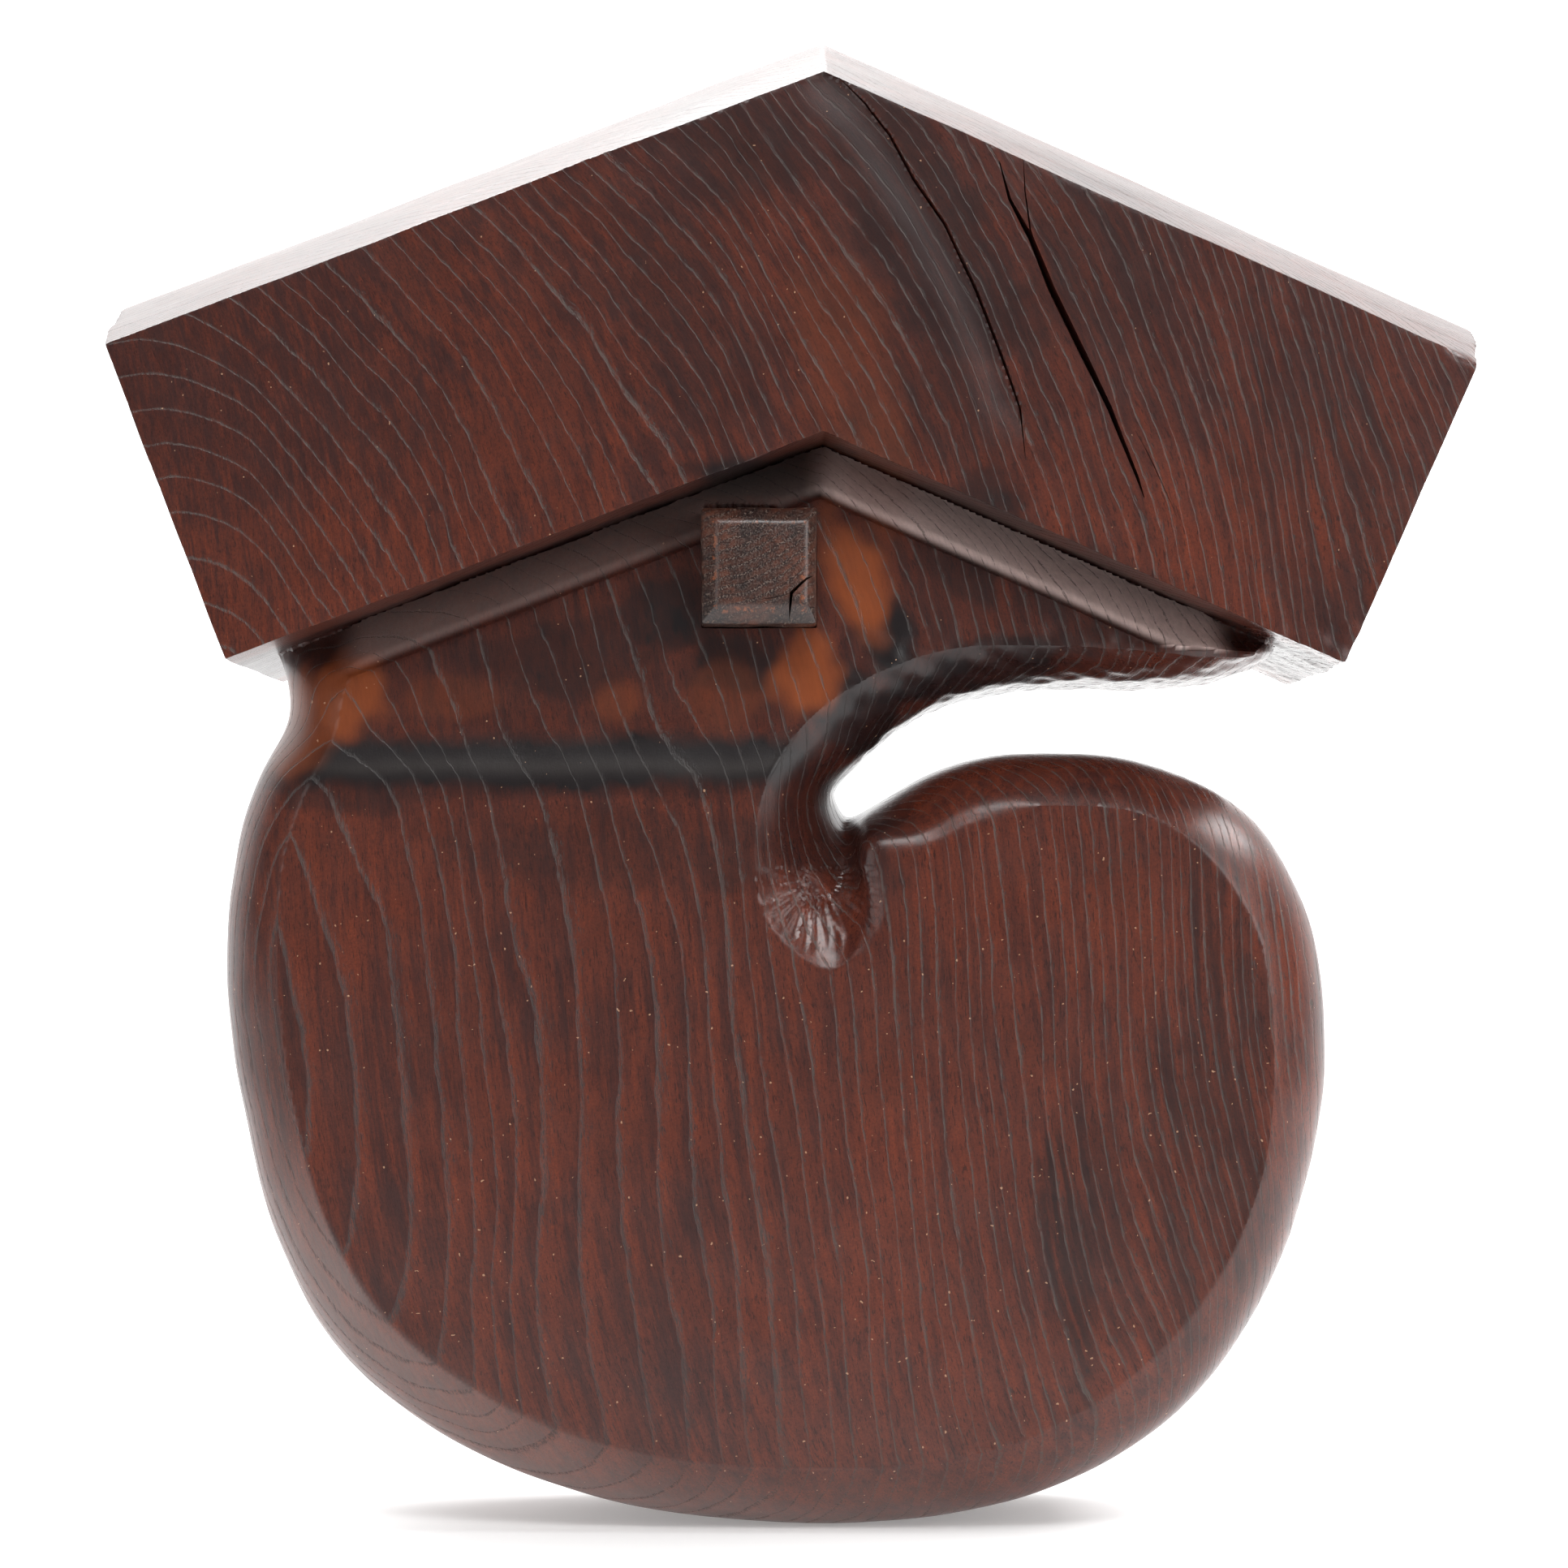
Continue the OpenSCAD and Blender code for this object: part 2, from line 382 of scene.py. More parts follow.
def carve_block():
    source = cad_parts["hook_block"].data
    creases = sharp_edges(source, 22)
    block = new_piece("carved_block", source.copy())
    weld(block.data, 0.01)
    grid = GRID
    voxel_remesh(block, grid)
    wrap_on(block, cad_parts["hook_block"])
    mesh = block.data

    # Smooth away the CAD's facets, but keep the carved edges
    points = read_points(mesh)
    nearest = [creases.find(Vector(p)) for p in points]
    away = np.array([found[2] for found in nearest])
    on_crease = away < 0.75 * grid
    points[on_crease] = [found[0] for found, close in zip(nearest, on_crease) if close]
    write_points(mesh, points)
    smooth(mesh, 50, 0.015 + 0.985 * ramp(away, 0.8, 6))
    shrunk = read_points(mesh)
    # The lip right of the slot and of the seat is worn round
    tip = np.zeros(len(shrunk))
    for lip_x, lip_z, full, none in WORN_LIPS:
        tip = np.maximum(tip, 1 - ramp(np.hypot(shrunk[:, 0] - lip_x, shrunk[:, 2] - lip_z), full, none))
    tip *= ramp(shrunk[:, 0], 24, 32)
    for corner_x, corner_z in ROUNDED_CORNERS:
        corner = 1 - ramp(np.hypot(shrunk[:, 0] - corner_x, shrunk[:, 2] - corner_z), 2, 8)
        tip = np.maximum(tip, 0.5 * corner)
    smooth(mesh, 100, tip)
    # Smoothing draws rounded parts in, so put them back out where they were
    lost = (points - shrunk) * ramp(away, 0.8, 6)[:, None]
    write_points(mesh, read_points(mesh) + spread(mesh, lost, 60))

    points = read_points(mesh)
    normals = normals_of(mesh)
    x, y, z = points.T
    on_roof = ~on_hook(points)

    # The neck is cut back from the hook's face, in a soft step
    height = z - sling_line(x)
    neck = ramp(height, -10, 12) * (~on_roof) * ramp(np.abs(y), 18, 42)
    points[:, 1] -= np.sign(y) * NECK_RECESS * neck

    # The bevels under the roof are rounded over a little towards the top
    shoulder = shoulder_mask(points, normals)
    back = np.clip((NECK_FACE - np.abs(y)) / 26, 0, 1)
    points += normals * (shoulder * BEVEL_SWELL * 4 * back * (1 - back))[:, None]

    # Hand-cut unevenness: long shallow waves everywhere, and short scallops in the throat
    uneven = 0.22 * wave_noise(points, 34, SEED) + 0.10 * wave_noise(points, 15, SEED + 1)
    flat_face = np.abs(normals[:, 1]) > 0.97
    uneven *= np.where(flat_face, 0.45, 1.0)
    throat = ramp(z, -66, -50) * (1 - ramp(z, -22, -14)) * ramp(x, 18, 30) * (normals[:, 2] < 0.2)
    scallops = throat * 0.22 * wave_noise(points, 5, SEED + 2)
    # The seat falls away in a fan of narrow facets
    fan_x, fan_z = x - FAN_CENTRE[0], z - FAN_CENTRE[1]
    reach = np.hypot(fan_x, fan_z)
    turn = np.arctan2(fan_x, -fan_z) * FAN_FACETS / math.pi + 0.25 * wave_noise(points, 9, SEED + 3)
    hollow = 1 - (2 * (turn - np.floor(turn)) - 1) ** 2
    on_fan = ramp(reach, 1, 5) * (1 - ramp(reach, 17, 24)) * (z < FAN_CENTRE[1] + 4) * (np.abs(y) > 12)
    on_fan = on_fan * ramp(np.hypot(normals[:, 0], normals[:, 2]), 0.12, 0.3)
    points += normals * (uneven + scallops - FACET_HOLLOW * on_fan * hollow)[:, None]

    # The wood left of the long crack has sunk
    crack_distance, crack_side = polyline_distance(x, z, LONG_CRACK)
    front_roof = (y < -ROOF_FACE + 3) & flat_face
    sunk = front_roof * (crack_side > 0) * SUNK_DEPTH * (1 - ramp(crack_distance, 0, 14)) * ramp(z, 30, 48)
    points[:, 1] += sunk

    # Nothing of it leaves the box of the CAD block
    points[:, 1] -= np.sign(y) * ROOF_INSET * (np.abs(y) > NECK_FACE + 5)
    points = np.clip(points, np.array(block_low) + BOX_MARGIN, np.array(block_high) - BOX_MARGIN)
    write_points(mesh, points)

    paint_block(mesh)
    cut(block, [
        groove("long_crack", LONG_CRACK, [0.5, 0.9, 1.3, 1.5, 1.5, 1.4, 1.3, 0.9, 0.3], -ROOF_FACE, 4.0),
        groove("open_crack", OPEN_CRACK, [0.4, 1.1, 2.0, 2.5, 2.4, 1.8, 1.1, 0.4], -ROOF_FACE, 7.0),
        groove("side_crack", SIDE_CRACK, [0.2, 0.5, 0.7, 0.3], -ROOF_FACE, 4.0),
        groove("fine_crack", FINE_CRACK, [0.2, 0.5, 0.2], -ROOF_FACE, 1.5),
    ])
    shade(block.data)
    return block


def paint_block(mesh):
    """Masks for the material, as point attributes: bare, soot_and_painted_shade (soot, with painted shade
    under the roof), striped, painted_sheen, painted_highlight and worn.
    """
    points = read_points(mesh)
    normals = normals_of(mesh)
    x, z = points[:, 0], points[:, 2]
    turned = np.hypot(normals[:, 0], normals[:, 2])     # 0 on the flat faces, 1 on the rim
    shoulder = shoulder_mask(points, normals)
    on_neck = on_hook(points)
    height = z - sling_line(x)
    bare = patch_mask(points, BARE_PATCHES, SEED + 5) * np.where(on_neck, 1.0, 0.6)
    wobble = 1.2 * wave_noise(points, 25, SEED + 10) + 0.8 * wave_noise(points, 6, SEED + 11)
    band = np.exp(-(np.abs(height + 1 + wobble) / 9.5) ** 3)
    band *= on_neck * (1 - ramp(x, 6, 30))
    band *= ramp(x, -152, -128)
    soot_and_painted_shade = np.maximum(patch_mask(points, DARK_PATCHES, SEED + 8), band)
    # Painted shade: the neck is darker close to the roof's underside, under its overhang, and less so on the
    # bevels
    painted_roof_shade = on_neck * ramp(z + 0.42 * np.abs(x - 19), 18, 40)
    soot_and_painted_shade = np.maximum(soot_and_painted_shade, 0.55 * painted_roof_shade * (1 - 0.6 * shoulder))
    soot_and_painted_shade = np.maximum(soot_and_painted_shade, 0.3 * on_neck * ramp(height, 0, 10))
    soot_and_painted_shade = np.clip(soot_and_painted_shade * (1 - 0.9 * bare), 0, 1)
    # Painted sheen: a soft pale line along the neck's step, where the step catches light
    painted_sheen = np.exp(-((height + 1.5 + 0.6 * wave_noise(points, 20, SEED + 9)) / 2.4) ** 2)
    painted_sheen = painted_sheen * on_neck * ramp(x, -140, -118) * (1 - ramp(x, 0, 16))
    add_attribute(mesh, "bare", bare)
    add_attribute(mesh, "soot_and_painted_shade", soot_and_painted_shade)
    add_attribute(mesh, "striped", patch_mask(points, STRIPED_PATCHES, SEED + 12))
    add_attribute(mesh, "painted_sheen", painted_sheen)
    # Painted highlight: the bevels under the roof, most on the right, and faintly the rim towards the lower
    # left, made pale as if lit
    painted_highlight = shoulder * (0.2 + 0.8 * ramp(x, 12, 26)) * (1 - 0.35 * bare)
    to_left_and_down = ramp(-normals[:, 0] - 0.5 * normals[:, 2], 0.1, 0.6) * (1 - ramp(z, -215, -150))
    add_attribute(mesh, "painted_highlight", np.maximum(painted_highlight, 0.16 * ramp(turned, 0.25, 0.5) * to_left_and_down))
    near_seat = 1 - ramp(np.hypot(x - FAN_CENTRE[0], (z - FAN_CENTRE[1]) * 0.8), 14, 22)
    worn = near_seat * ramp(turned, 0.12, 0.3) * (x < 46)
    add_attribute(mesh, "worn", np.maximum(worn, throat_mask(points, normals)))


# ---------------------------------------------------------------------------------------------
# The square peg
# ---------------------------------------------------------------------------------------------

def carve_peg():
    """A square bar whose ends are bevelled to a low pillow, with a split corner in front."""
    half_x, half_y, half_z = peg_high.x - 0.15, peg_high.y, peg_high.z - 0.15
    made = bmesh.new()
    bmesh.ops.create_cube(made, size=2)
    bmesh.ops.scale(made, vec=Vector((half_x, half_y, half_z)) * MM, verts=made.verts)
    mesh = bpy.data.meshes.new("square_peg")
    made.to_mesh(mesh)
    made.free()
    peg = new_piece("square_peg", mesh)
    voxel_remesh(peg, 0.6)
    mesh = peg.data
    smooth(mesh, 2)

    points = read_points(mesh)
    x, y, z = points.T
    to_end = half_y - np.abs(y)
    near_end = 1 - ramp(to_end, 0, 9)
    # The side faces lean in towards the ends, least on the right
    inset = 1 - np.clip(to_end / 3.6, 0, 1)
    points[:, 0] *= 1 - inset * np.where(x < 0, 4.4, 2.4) / half_x
    points[:, 2] *= 1 - inset * np.where(z > 0, 4.0, 5.2) / half_z
    # The end face is a low pillow
    reach = np.clip(1 - (x / half_x) ** 2, 0, 1) * np.clip(1 - (z / half_z) ** 2, 0, 1)
    points[:, 1] -= np.sign(y) * near_end * (1 - reach ** 0.5) * 1.6
    points += normals_of(mesh) * (0.12 * wave_noise(points, 9, SEED + 20))[:, None]
    write_points(mesh, points)
    smooth(mesh, 2)

    end_y = -half_y
    cut(peg, [
        groove("corner_split", [(17.5, -2.3), (14, -4), (12, -5.8), (9.5, -8.2), (9.2, -12), (8.8, -17.5)],
               [1.2, 0.8, 0.9, 1.3, 0.9, 1.1], end_y, 7.0),
        groove("end_check", [(9.2, -8.4), (4, -9.6), (0, -10.2)], [0.5, 0.3, 0.15], end_y, 3.0),
    ])
    shade(peg.data)
    return peg


# ---------------------------------------------------------------------------------------------
# Materials
# ---------------------------------------------------------------------------------------------

class Shader:
    """Short names for the nodes of one material or world."""

    def __init__(self, tree):
        self.tree = tree
        tree.nodes.clear()

    def node(self, kind, inputs=None, **settings):
        made = self.tree.nodes.new(kind)
        for key, value in settings.items():
            setattr(made, key, value)
        for key, value in (inputs or {}).items():
            self.feed(made.inputs[key], value)
        return made

    def feed(self, socket, value):
        if isinstance(value, bpy.types.NodeSocket):
            self.tree.links.new(value, socket)
        else:
            socket.default_value = value

    def math(self, operation, *values):
        return self.node("ShaderNodeMath", dict(enumerate(values)), operation=operation).outputs[0]

    def sum(self, *values):
        total = values[0]
        for value in values[1:]:
            total = self.math("ADD", total, value)
        return total

    def product(self, *values):
        total = values[0]
        for value in values[1:]:
            total = self.math("MULTIPLY", total, value)
        return total

    def polynomial(self, t, coefficients):
        """Coefficients from the constant upwards."""
        total = coefficients[-1]
        for c in reversed(coefficients[:-1]):
            total = self.math("MULTIPLY_ADD", total, t, c)
        return total

    def step(self, value, low, high, to_low=0.0, to_high=1.0):
        """Smooth change from to_low to to_high as the value goes from low to high."""
        ranged = self.node("ShaderNodeMapRange", {
            "Value": value, "From Min": low, "From Max": high, "To Min": to_low, "To Max": to_high,
        }, interpolation_type="SMOOTHSTEP")
        return ranged.outputs["Result"]

    def vector(self, x, y, z):
        return self.node("ShaderNodeCombineXYZ", {0: x, 1: y, 2: z}).outputs[0]

    def noise(self, vector, scale, detail=2.0, roughness=0.5):
        made = self.node("ShaderNodeTexNoise", {
            "Vector": vector, "Scale": scale, "Detail": detail, "Roughness": roughness,
        })
        return made.outputs["Fac"]

    def mix(self, factor, a, b, blend="MIX"):
        made = self.node("ShaderNodeMix", data_type="RGBA", blend_type=blend)
        self.feed(made.inputs[0], factor)
        self.feed(made.inputs[6], a)
        self.feed(made.inputs[7], b)
        return made.outputs[2]

    def attribute(self, name):
        return self.node("ShaderNodeAttribute", attribute_name=name).outputs["Fac"]

    def bump(self, height, strength, distance, normal=None):
        inputs = {"Height": height, "Strength": strength, "Distance": distance}
        if normal is not None:
            inputs["Normal"] = normal
        return self.node("ShaderNodeBump", inputs).outputs["Normal"]


def colour(red, green, blue):
    """A colour given in sRGB, 0 to 255."""
    def linear(c):
        c /= 255
        return c / 12.92 if c <= 0.04045 else ((c + 0.055) / 1.055) ** 2.4
    return (linear(red), linear(green), linear(blue), 1.0)


DARK_WOOD = colour(58, 32, 29)
RED_WOOD = colour(114, 52, 33)
DASH_COLOUR = colour(36, 18, 17)
# Soot, also used for the painted shade under the roof
SOOT_AND_SHADE_COLOUR = colour(25, 20, 21)
CLEAN_LIGHT, CLEAN_DEEP = colour(140, 72, 36), colour(104, 50, 26)
WAX_PALE, WAX_SOOTED = colour(74, 66, 61), colour(48, 42, 41)
SPECK_COLOUR = colour(190, 150, 120)
# Colours of painted light: a sheen along the neck's step, and a pale highlight on the bevels and the lower
# left rim
PAINTED_SHEEN_COLOUR = colour(78, 73, 70)
PAINTED_HIGHLIGHT_COLOUR = colour(228, 202, 195)

# The heart of the tree runs up past the hook's left side, in front of the wood that is left. Its
# x is a curve of height, and the rings draw in towards it at the top, as a trunk tapers.
HEART_X = (-164, -13, -4, -29)
HEART_Y = -195
RING_LEAN = (0, -23, -29)
LEAN_FADES = (120.0, 360.0)     # it fades to a tenth between these distances to the right
MID_HEIGHT, HEIGHT_UNIT = -60, 200
# Rings per millimetre at the heart, and half of what each millimetre further out adds to that
RINGS_NEAR, RINGS_MORE = 0.0157, 0.00042
# The first, closer rings: how far from the heart they reach, and how much closer they get
CLOSE_RINGS, CLOSER = 166, 0.004


def place_in_millimetres(s):
    """The shaded point's position on the object, and its x, y and z."""
    position = s.node("ShaderNodeTexCoord").outputs["Object"]
    place = s.node("ShaderNodeVectorMath", {0: position, "Scale": 1 / MM}, operation="SCALE").outputs[0]
    split = s.node("ShaderNodeSeparateXYZ", {0: place}).outputs
    return place, split[0], split[1], split[2]


def growth(s):
    """Where a point lies in the tree, in millimetres: its distance from the heart, wandering a
    little, how far round it is, its height and its plain position; then how steeply the surface
    cuts the rings, 1 where it is square to them."""
    place, x, y, z = place_in_millimetres(s)
    t = s.math("DIVIDE", s.math("SUBTRACT", z, MID_HEIGHT), HEIGHT_UNIT)
    off_x = s.math("SUBTRACT", x, s.polynomial(t, HEART_X))
    off_y = s.math("SUBTRACT", y, HEART_Y)
    radius = s.math("SQRT", s.sum(s.math("POWER", off_x, 2.0), s.math("POWER", off_y, 2.0)))
    lean = s.math("MULTIPLY", s.polynomial(t, RING_LEAN), s.step(off_x, *LEAN_FADES, 1.0, 0.1))
    radius = s.math("SUBTRACT", radius, lean)
    outward = s.node("ShaderNodeVectorMath", {
        0: s.vector(off_x, off_y, 0.0),
    }, operation="NORMALIZE").outputs["Vector"]
    facing = s.node("ShaderNodeVectorMath", {
        0: outward, 1: s.node("ShaderNodeNewGeometry").outputs["Normal"],
    }, operation="DOT_PRODUCT").outputs["Value"]
    # How fast the distance from the heart changes along the surface
    steepness = s.math("SQRT", s.math("SUBTRACT", 1.0, s.product(facing, facing, 0.98)))
    angle = s.math("ARCTAN2", off_x, off_y)
    around = s.math("MULTIPLY", angle, 200.0)
    stretched = s.vector(x, y, s.math("MULTIPLY", z, 0.35))
    # The rings wander less where they run nearly along the face, so that the lines stay smooth
    steady = s.step(s.math("DIVIDE", s.math("ABSOLUTE", off_x), radius), 0.05, 0.6, 0.15, 1.0)
    wander = s.product(steady, s.sum(
        s.product(s.math("SUBTRACT", s.noise(stretched, 0.016, 1.0), 0.5), 22.0),
        s.product(s.math("SUBTRACT", s.noise(stretched, 0.06, 2.0), 0.5), 3.0),
        s.product(s.math("SUBTRACT", s.noise(stretched, 0.3, 2.0), 0.5), 1.1),
    ))
    return s.math("ADD", radius, wander), around, z, place, steepness


def block_material():
    material = bpy.data.materials.new("smoked_zelkova")
    material.use_nodes = True
    s = Shader(material.node_tree)
    radius, around, z, place, steepness = growth(s)
    soot_and_painted_shade, bare, painted_sheen = s.attribute("soot_and_painted_shade"), s.attribute("bare"), s.attribute("painted_sheen")

    # Growth rings: each starts with a sharp, thin band of open pores, filled with grey wax
    uneven = s.noise(s.vector(radius, 0.0, 0.0), 0.07, 1.0)
    inside = s.math("MAXIMUM", s.math("SUBTRACT", CLOSE_RINGS, radius), 0.0)
    rings = s.sum(
        s.polynomial(radius, (0, RINGS_NEAR, RINGS_MORE)),
        s.product(uneven, 2.2),
        s.product(inside, inside, -CLOSER),
    )
    part = s.math("FRACT", rings)
    per_millimetre = s.sum(s.polynomial(radius, (RINGS_NEAR, 2 * RINGS_MORE)), s.product(inside, 2 * CLOSER))
    past_start = s.math("DIVIDE", part, per_millimetre)
    to_next = s.math("DIVIDE", s.math("SUBTRACT", 1.0, part), per_millimetre)
    along_place = s.vector(s.math("MULTIPLY", radius, 0.35), around, s.math("MULTIPLY", z, 0.25))
    swell = s.step(s.noise(along_place, 0.11, 2.0), 0.3, 0.7, 0.55, 1.35)
    low_wood = s.math("MULTIPLY", s.step(z, -130.0, -40.0, 1.0, 0.0), s.step(radius, 170.0, 235.0, 1.0, 0.15))
    line_width = s.product(s.sum(0.5, s.product(low_wood, 0.7)), swell, s.math("MAXIMUM", steepness, 0.15))
    past_line = s.math("DIVIDE", past_start, line_width)
    line = s.math("MAXIMUM", s.step(past_line, 0.35, 1.2, 1.0, 0.0), s.step(to_next, 0.0, 0.12, 1.0, 0.0))
    fading = s.step(past_line, 0.8, 3.2, 0.4, 0.0)

    # Pores and fibres are long and thin along the trunk
    fibre_place = s.vector(radius, around, s.math("MULTIPLY", z, 0.07))
    fibres = s.noise(fibre_place, 0.8, 5.0, 0.7)
    dash_place = s.vector(radius, around, s.math("MULTIPLY", z, 0.16))
    dashes = s.step(s.noise(dash_place, 2.1, 2.0, 0.6), 0.56, 0.66)
    grains = s.noise(place, 1.7, 3.0, 0.7)
    broken = s.step(s.noise(dash_place, 1.3, 3.0, 0.7), 0.42, 0.6, 0.2, 1.0)
    open_pores = s.math("MINIMUM", s.sum(s.product(line, broken), s.product(fading, dashes)), 1.0)

    # Ground colour: redder beside each line and more purple further on, in streaks and clouds
    cloud = s.noise(place, 0.02, 4.0, 0.6)
    streaks = s.noise(s.vector(radius, around, s.math("MULTIPLY", z, 0.08)), 0.3, 4.0, 0.68)
    redness = s.sum(
        s.product(cloud, 0.5), s.product(streaks, 0.9), s.product(fibres, 0.45),
        s.product(part, low_wood, -0.2), s.product(low_wood, 0.06), s.step(z, 0.0, 60.0, 0.0, -0.13),
    )
    ground = s.mix(s.step(redness, 0.62, 1.25), DARK_WOOD, RED_WOOD)
    ground = s.mix(s.product(dashes, 0.7), ground, DASH_COLOUR)
    ground = s.mix(s.step(grains, 0.35, 0.7, 0.0, 0.4), ground, DASH_COLOUR)
    # Soot and oil, with the painted shade under the roof that shares their mask
    soot_noise = s.noise(place, 0.04, 4.0, 0.6)
    stain = s.step(s.sum(s.product(soot_noise, 0.7), s.product(streaks, 0.45)), 0.56, 0.84, 0.0, 0.45)
    stripes = s.noise(s.vector(radius, 0.0, s.math("MULTIPLY", z, 0.05)), 0.3, 2.0, 0.5)
    striped = s.math("MULTIPLY", s.attribute("striped"), s.step(stripes, 0.38, 0.56, 0.2, 1.0))
    soot_and_shade = s.sum(stain, s.product(soot_and_painted_shade, s.step(soot_noise, 0.2, 0.6, 0.95, 1.15)), striped)
    soot_and_shade = s.math("MINIMUM", soot_and_shade, 1.0)
    ground = s.mix(soot_and_shade, ground, SOOT_AND_SHADE_COLOUR)
    # Clean wood where the rope lay
    clean = s.math("MULTIPLY", bare, s.step(soot_noise, 0.25, 0.7, 0.75, 1.0))
    clean_wood = s.mix(fibres, CLEAN_LIGHT, CLEAN_DEEP)
    ground = s.mix(clean, ground, clean_wood)
    # Grey wax in the pores and odd specks; then painted light: a sheen along the neck's step, and a pale
    # highlight on the bevels under the roof and the rim towards the lower left
    filled = s.mix(s.math("MAXIMUM", soot_and_shade, low_wood), WAX_PALE, WAX_SOOTED)
    ground = s.mix(s.math("MULTIPLY", open_pores, 0.75), ground, filled)
    specks = s.step(s.noise(place, 0.9, 0.0, 0.0), 0.86, 0.88)
    ground = s.mix(s.math("MULTIPLY", specks, 0.6), ground, SPECK_COLOUR)
    ground = s.mix(s.math("MULTIPLY", painted_sheen, 0.22), ground, PAINTED_SHEEN_COLOUR)
    painted_highlight = s.product(
        s.attribute("painted_highlight"),
        s.step(open_pores, 0.0, 1.0, 1.0, 0.4),
        s.step(fibres, 0.3, 0.7, 1.0, 0.8),
    )
    ground = s.mix(s.math("MULTIPLY", painted_highlight, 0.9), ground, PAINTED_HIGHLIGHT_COLOUR)

    worn = s.attribute("worn")
    roughness = s.sum(
        0.25,
        s.product(worn, -0.1),
        s.product(open_pores, 0.25),
        s.product(s.noise(place, 0.12, 3.0, 0.6), 0.12),
        s.product(painted_highlight, 0.15),
    )
    relief = s.bump(s.math("SUBTRACT", 0.0, open_pores), 0.5, 0.2 * MM)
    relief = s.bump(fibres, 0.3, 0.1 * MM, relief)
    relief = s.bump(grains, 0.4, 0.08 * MM, relief)

    shader = s.node("ShaderNodeBsdfPrincipled", {
        "Base Color": ground,
        "Roughness": roughness,
        "Normal": relief,
        "IOR": 1.45,
        "Coat Weight": 0.1,
        "Coat Roughness": 0.2,
    })
    s.node("ShaderNodeOutputMaterial", {"Surface": shader.outputs[0]})
    return material


def peg_material():
    material = bpy.data.materials.new("peg_end_grain")
    material.use_nodes = True
    s = Shader(material.node_tree)
    place, x, y, z = place_in_millimetres(s)
    # The peg's own rings cross its end in shallow arcs, with pores as dots
    arc = s.math("SQRT", s.sum(
        s.math("POWER", s.math("ADD", x, 26.0), 2.0),
        s.math("POWER", s.math("SUBTRACT", z, 52.0), 2.0),
    ))
    wander = s.product(s.noise(place, 0.12, 2.0), 3.0)
    part = s.math("FRACT", s.math("DIVIDE", s.sum(arc, wander), 2.6))
    rings = s.step(part, 0.0, 0.6, 1.0, 0.0)
    dots = s.step(s.noise(s.vector(x, s.math("MULTIPLY", y, 0.08), z), 1.9, 2.0, 0.6), 0.5, 0.6)
    patches = s.noise(s.vector(x, s.math("MULTIPLY", y, 0.08), z), 0.35, 3.0, 0.7)
    pores = s.math("MULTIPLY", s.math("MAXIMUM", rings, 0.3), dots)
    cloud = s.noise(place, 0.06, 3.0, 0.6)
    ground = s.mix(s.step(cloud, 0.35, 0.65), colour(42, 27, 24), colour(84, 46, 32))
    ground = s.mix(s.math("MULTIPLY", rings, 0.7), ground, colour(24, 15, 14))
    ground = s.mix(s.step(patches, 0.4, 0.65, 0.0, 0.7), ground, colour(22, 16, 16))
    ground = s.mix(s.math("MULTIPLY", pores, 0.6), ground, colour(120, 100, 88))
    # Raw, orange wood along the worn edges of the end
    edge = s.math("MAXIMUM", s.math("ABSOLUTE", x), s.math("ABSOLUTE", z))
    raw = s.product(s.step(edge, 11.5, 13.0), s.step(edge, 13.2, 14.5, 1.0, 0.0), s.step(patches, 0.54, 0.62))
    ground = s.mix(s.math("MULTIPLY", raw, 0.6), ground, colour(150, 84, 50))
    roughness = s.sum(0.25, s.product(pores, 0.3), s.product(cloud, 0.12))
    relief = s.bump(s.math("SUBTRACT", 0.0, pores), 0.4, 0.2 * MM)
    relief = s.bump(s.noise(place, 0.3, 3.0, 0.6), 0.4, 0.5 * MM, relief)
    shader = s.node("ShaderNodeBsdfPrincipled", {
        "Base Color": ground,
        "Roughness": roughness,
        "Normal": relief,
        "IOR": 1.5,
        "Coat Weight": 0.2,
        "Coat Roughness": 0.25,
    })
    s.node("ShaderNodeOutputMaterial", {"Surface": shader.outputs[0]})
    return material


# ---------------------------------------------------------------------------------------------
# Stage: floor, light and camera
# ---------------------------------------------------------------------------------------------

def make_floor():
    size = 12.0
    made = bmesh.new()
    bmesh.ops.create_grid(made, x_segments=1, y_segments=1, size=size)
    mesh = bpy.data.meshes.new("floor")
    made.to_mesh(mesh)
    made.free()
    floor = new_piece("floor", mesh)
    floor.location.z = FLOOR_Z * MM
    material = bpy.data.materials.new("pale_floor")
    material.use_nodes = True
    s = Shader(material.node_tree)
    position = s.node("ShaderNodeTexCoord").outputs["Object"]
    to_back = s.node("ShaderNodeSeparateXYZ", {0: position}).outputs[1]
    # Painted light: the floor glows, weakly in front and strongly behind, to light the undersides from below,
    # and is grey in front so that the faces mirror little of it
    shader = s.node("ShaderNodeBsdfPrincipled", {
        "Base Color": s.mix(s.step(to_back, -0.6, -0.16), (0.25, 0.25, 0.25, 1.0), (0.8, 0.8, 0.8, 1.0)),
        "Roughness": 0.7,
        "Emission Color": (1.0, 1.0, 1.0, 1.0),
        "Emission Strength": s.sum(
            s.step(to_back, -0.5, -0.15, 0.0, 0.25), s.step(to_back, 0.3, 2.5, 0.0, 0.9)),
    })
    s.node("ShaderNodeOutputMaterial", {"Surface": shader.outputs[0]})
    mesh.materials.append(material)


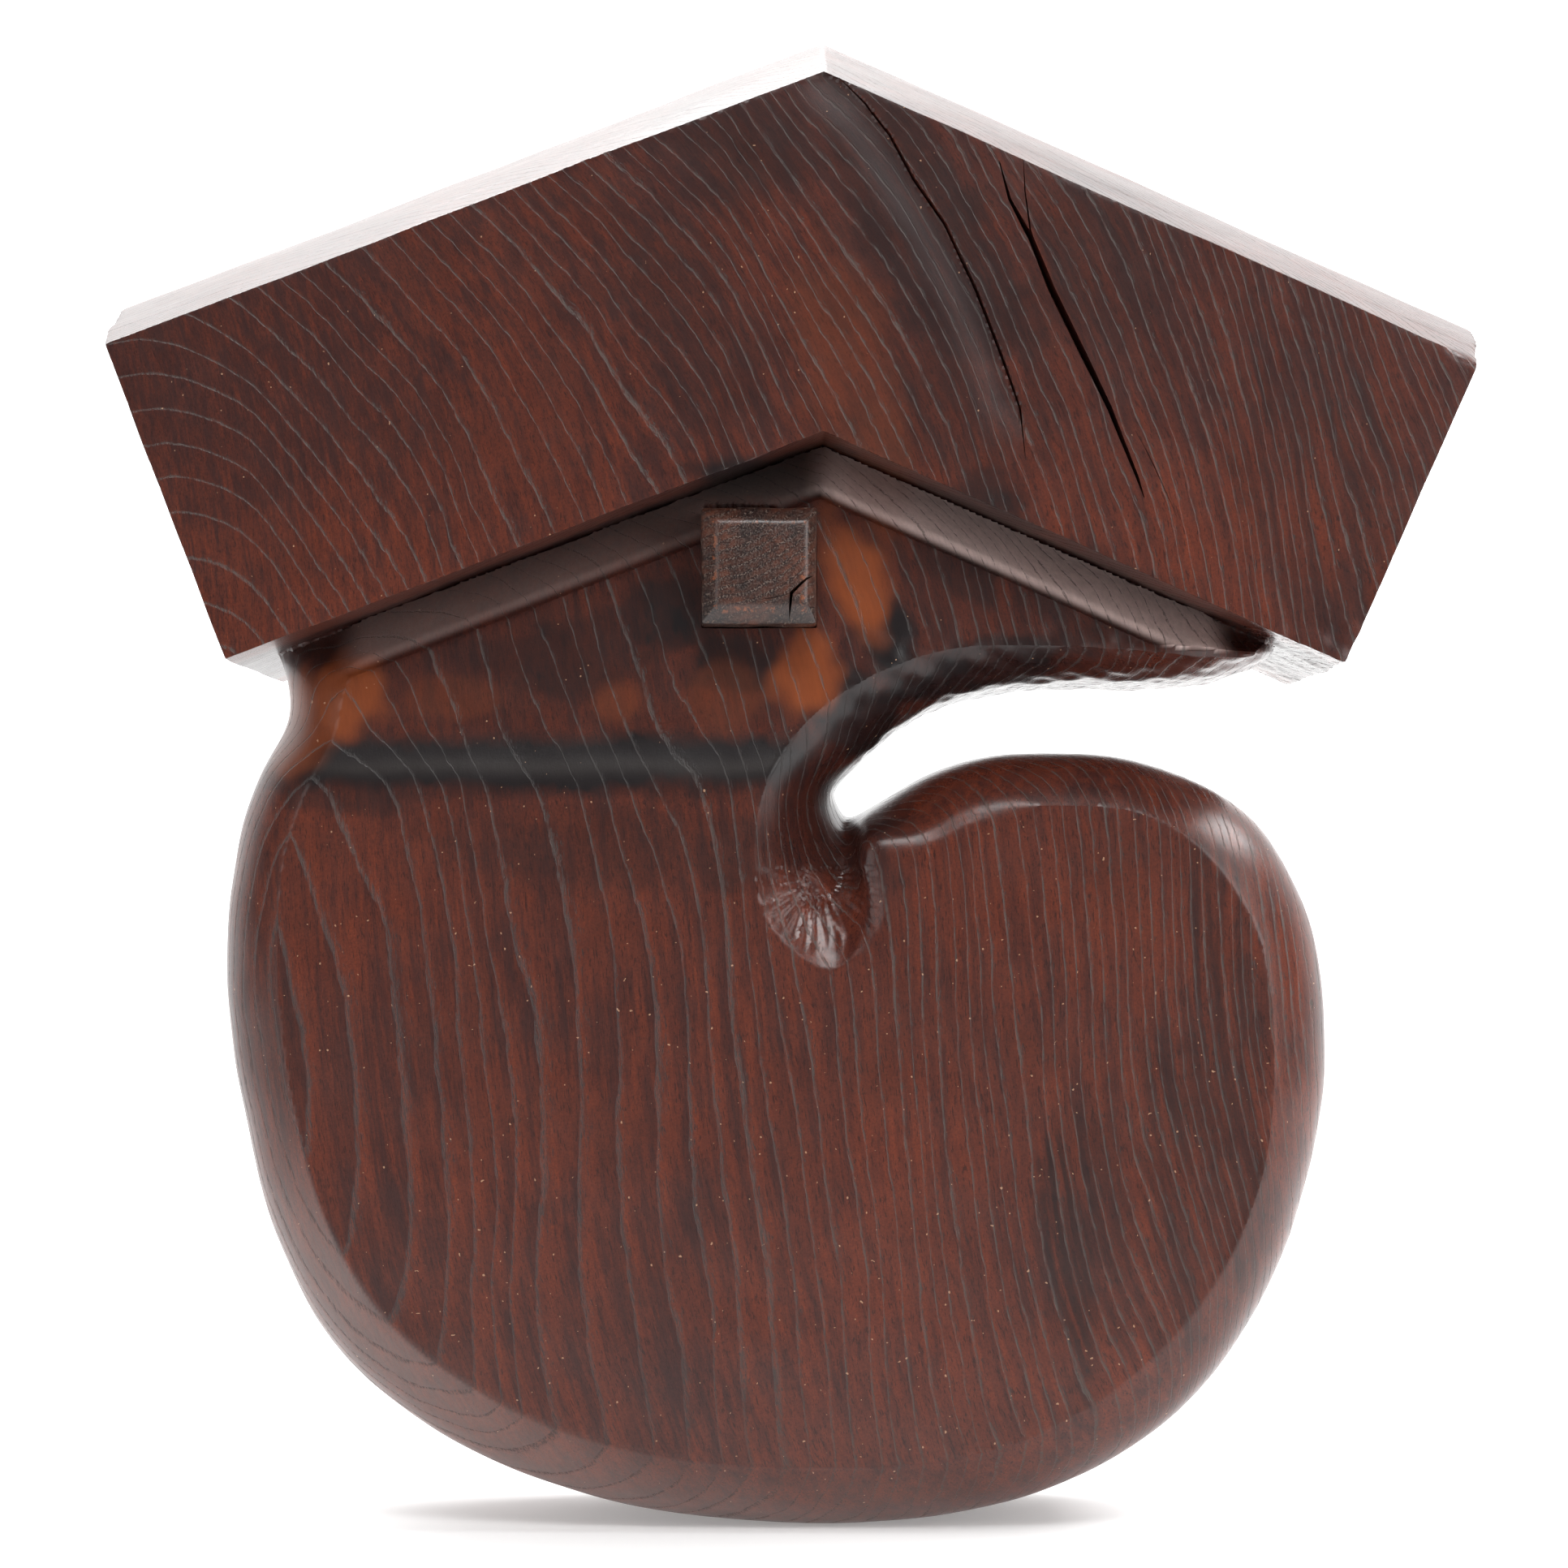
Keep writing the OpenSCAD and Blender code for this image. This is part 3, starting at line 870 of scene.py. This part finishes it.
def make_world():
    """White all round, but dim towards the front, so that the flat faces mirror little light."""
    world = bpy.data.worlds.new("studio")
    bpy.context.scene.world = world
    world.use_nodes = True
    s = Shader(world.node_tree)
    direction = s.node("ShaderNodeTexCoord").outputs["Generated"]
    to_back = s.node("ShaderNodeSeparateXYZ", {0: direction}).outputs[1]
    light = s.step(to_back, -0.1, 0.5, 0.04, 1.8)
    background = s.node("ShaderNodeBackground", {"Color": s.vector(light, light, light)})
    s.node("ShaderNodeOutputWorld", {"Surface": background.outputs[0]})


def softbox(name, place, target, width, height, power):
    light = bpy.data.lights.new(name, "AREA")
    light.shape = "RECTANGLE"
    light.size, light.size_y = width, height
    light.energy = power
    lamp = bpy.data.objects.new(name, light)
    bpy.context.scene.collection.objects.link(lamp)
    lamp.location = place
    lamp.rotation_euler = (Vector(target) - Vector(place)).to_track_quat("-Z", "Y").to_euler()
    lamp.visible_camera = False


def make_lights():
    middle = (cad_low + cad_high) / 2
    softbox("overhead_softbox", (-0.3, 0.8, 1.35), middle, 1.6, 1.2, 32)
    softbox("top_softbox", (0.0, 0.1, 1.4), middle, 0.5, 0.5, 6)
    softbox("front_softbox", (0.1, -1.1, 1.0), middle, 0.8, 0.5, 12)
    softbox("left_front_softbox", (-1.1, -1.15, 0.15), middle, 0.9, 0.9, 3.5)
    softbox("right_front_softbox", (1.1, -1.15, 0.3), middle, 0.9, 0.9, 10.5)
    softbox("right_top_softbox", (1.1, -0.12, 1.0), middle, 0.8, 0.6, 20)


def make_camera():
    """In front of the roof's face, a little under mid-height and tipped slightly up."""
    distance, side, height = 1370.0, 7.4, -92.1
    tip = 1.17                  # degrees upwards
    data = bpy.data.cameras.new("camera")
    data.sensor_width = 36.0
    data.lens = 108.5
    camera = bpy.data.objects.new("camera", data)
    bpy.context.scene.collection.objects.link(camera)
    camera.location = (side * MM, (-ROOF_FACE - distance) * MM, height * MM)
    camera.rotation_euler = (math.radians(90 + tip), 0, 0)
    bpy.context.scene.camera = camera


# ---------------------------------------------------------------------------------------------
# Assembly
# ---------------------------------------------------------------------------------------------

make_camera()
make_world()
make_lights()
make_floor()
bpy.context.scene.view_settings.view_transform = "Standard"

for piece, node, slot, material in (
    (carve_block(), "hook_block", "block_wood", block_material()),
    (carve_peg(), "rope_peg", "peg_wood", peg_material()),
):
    piece.data.materials.clear()
    piece.data.materials.append(material)
    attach(piece, "root")
    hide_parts(node)
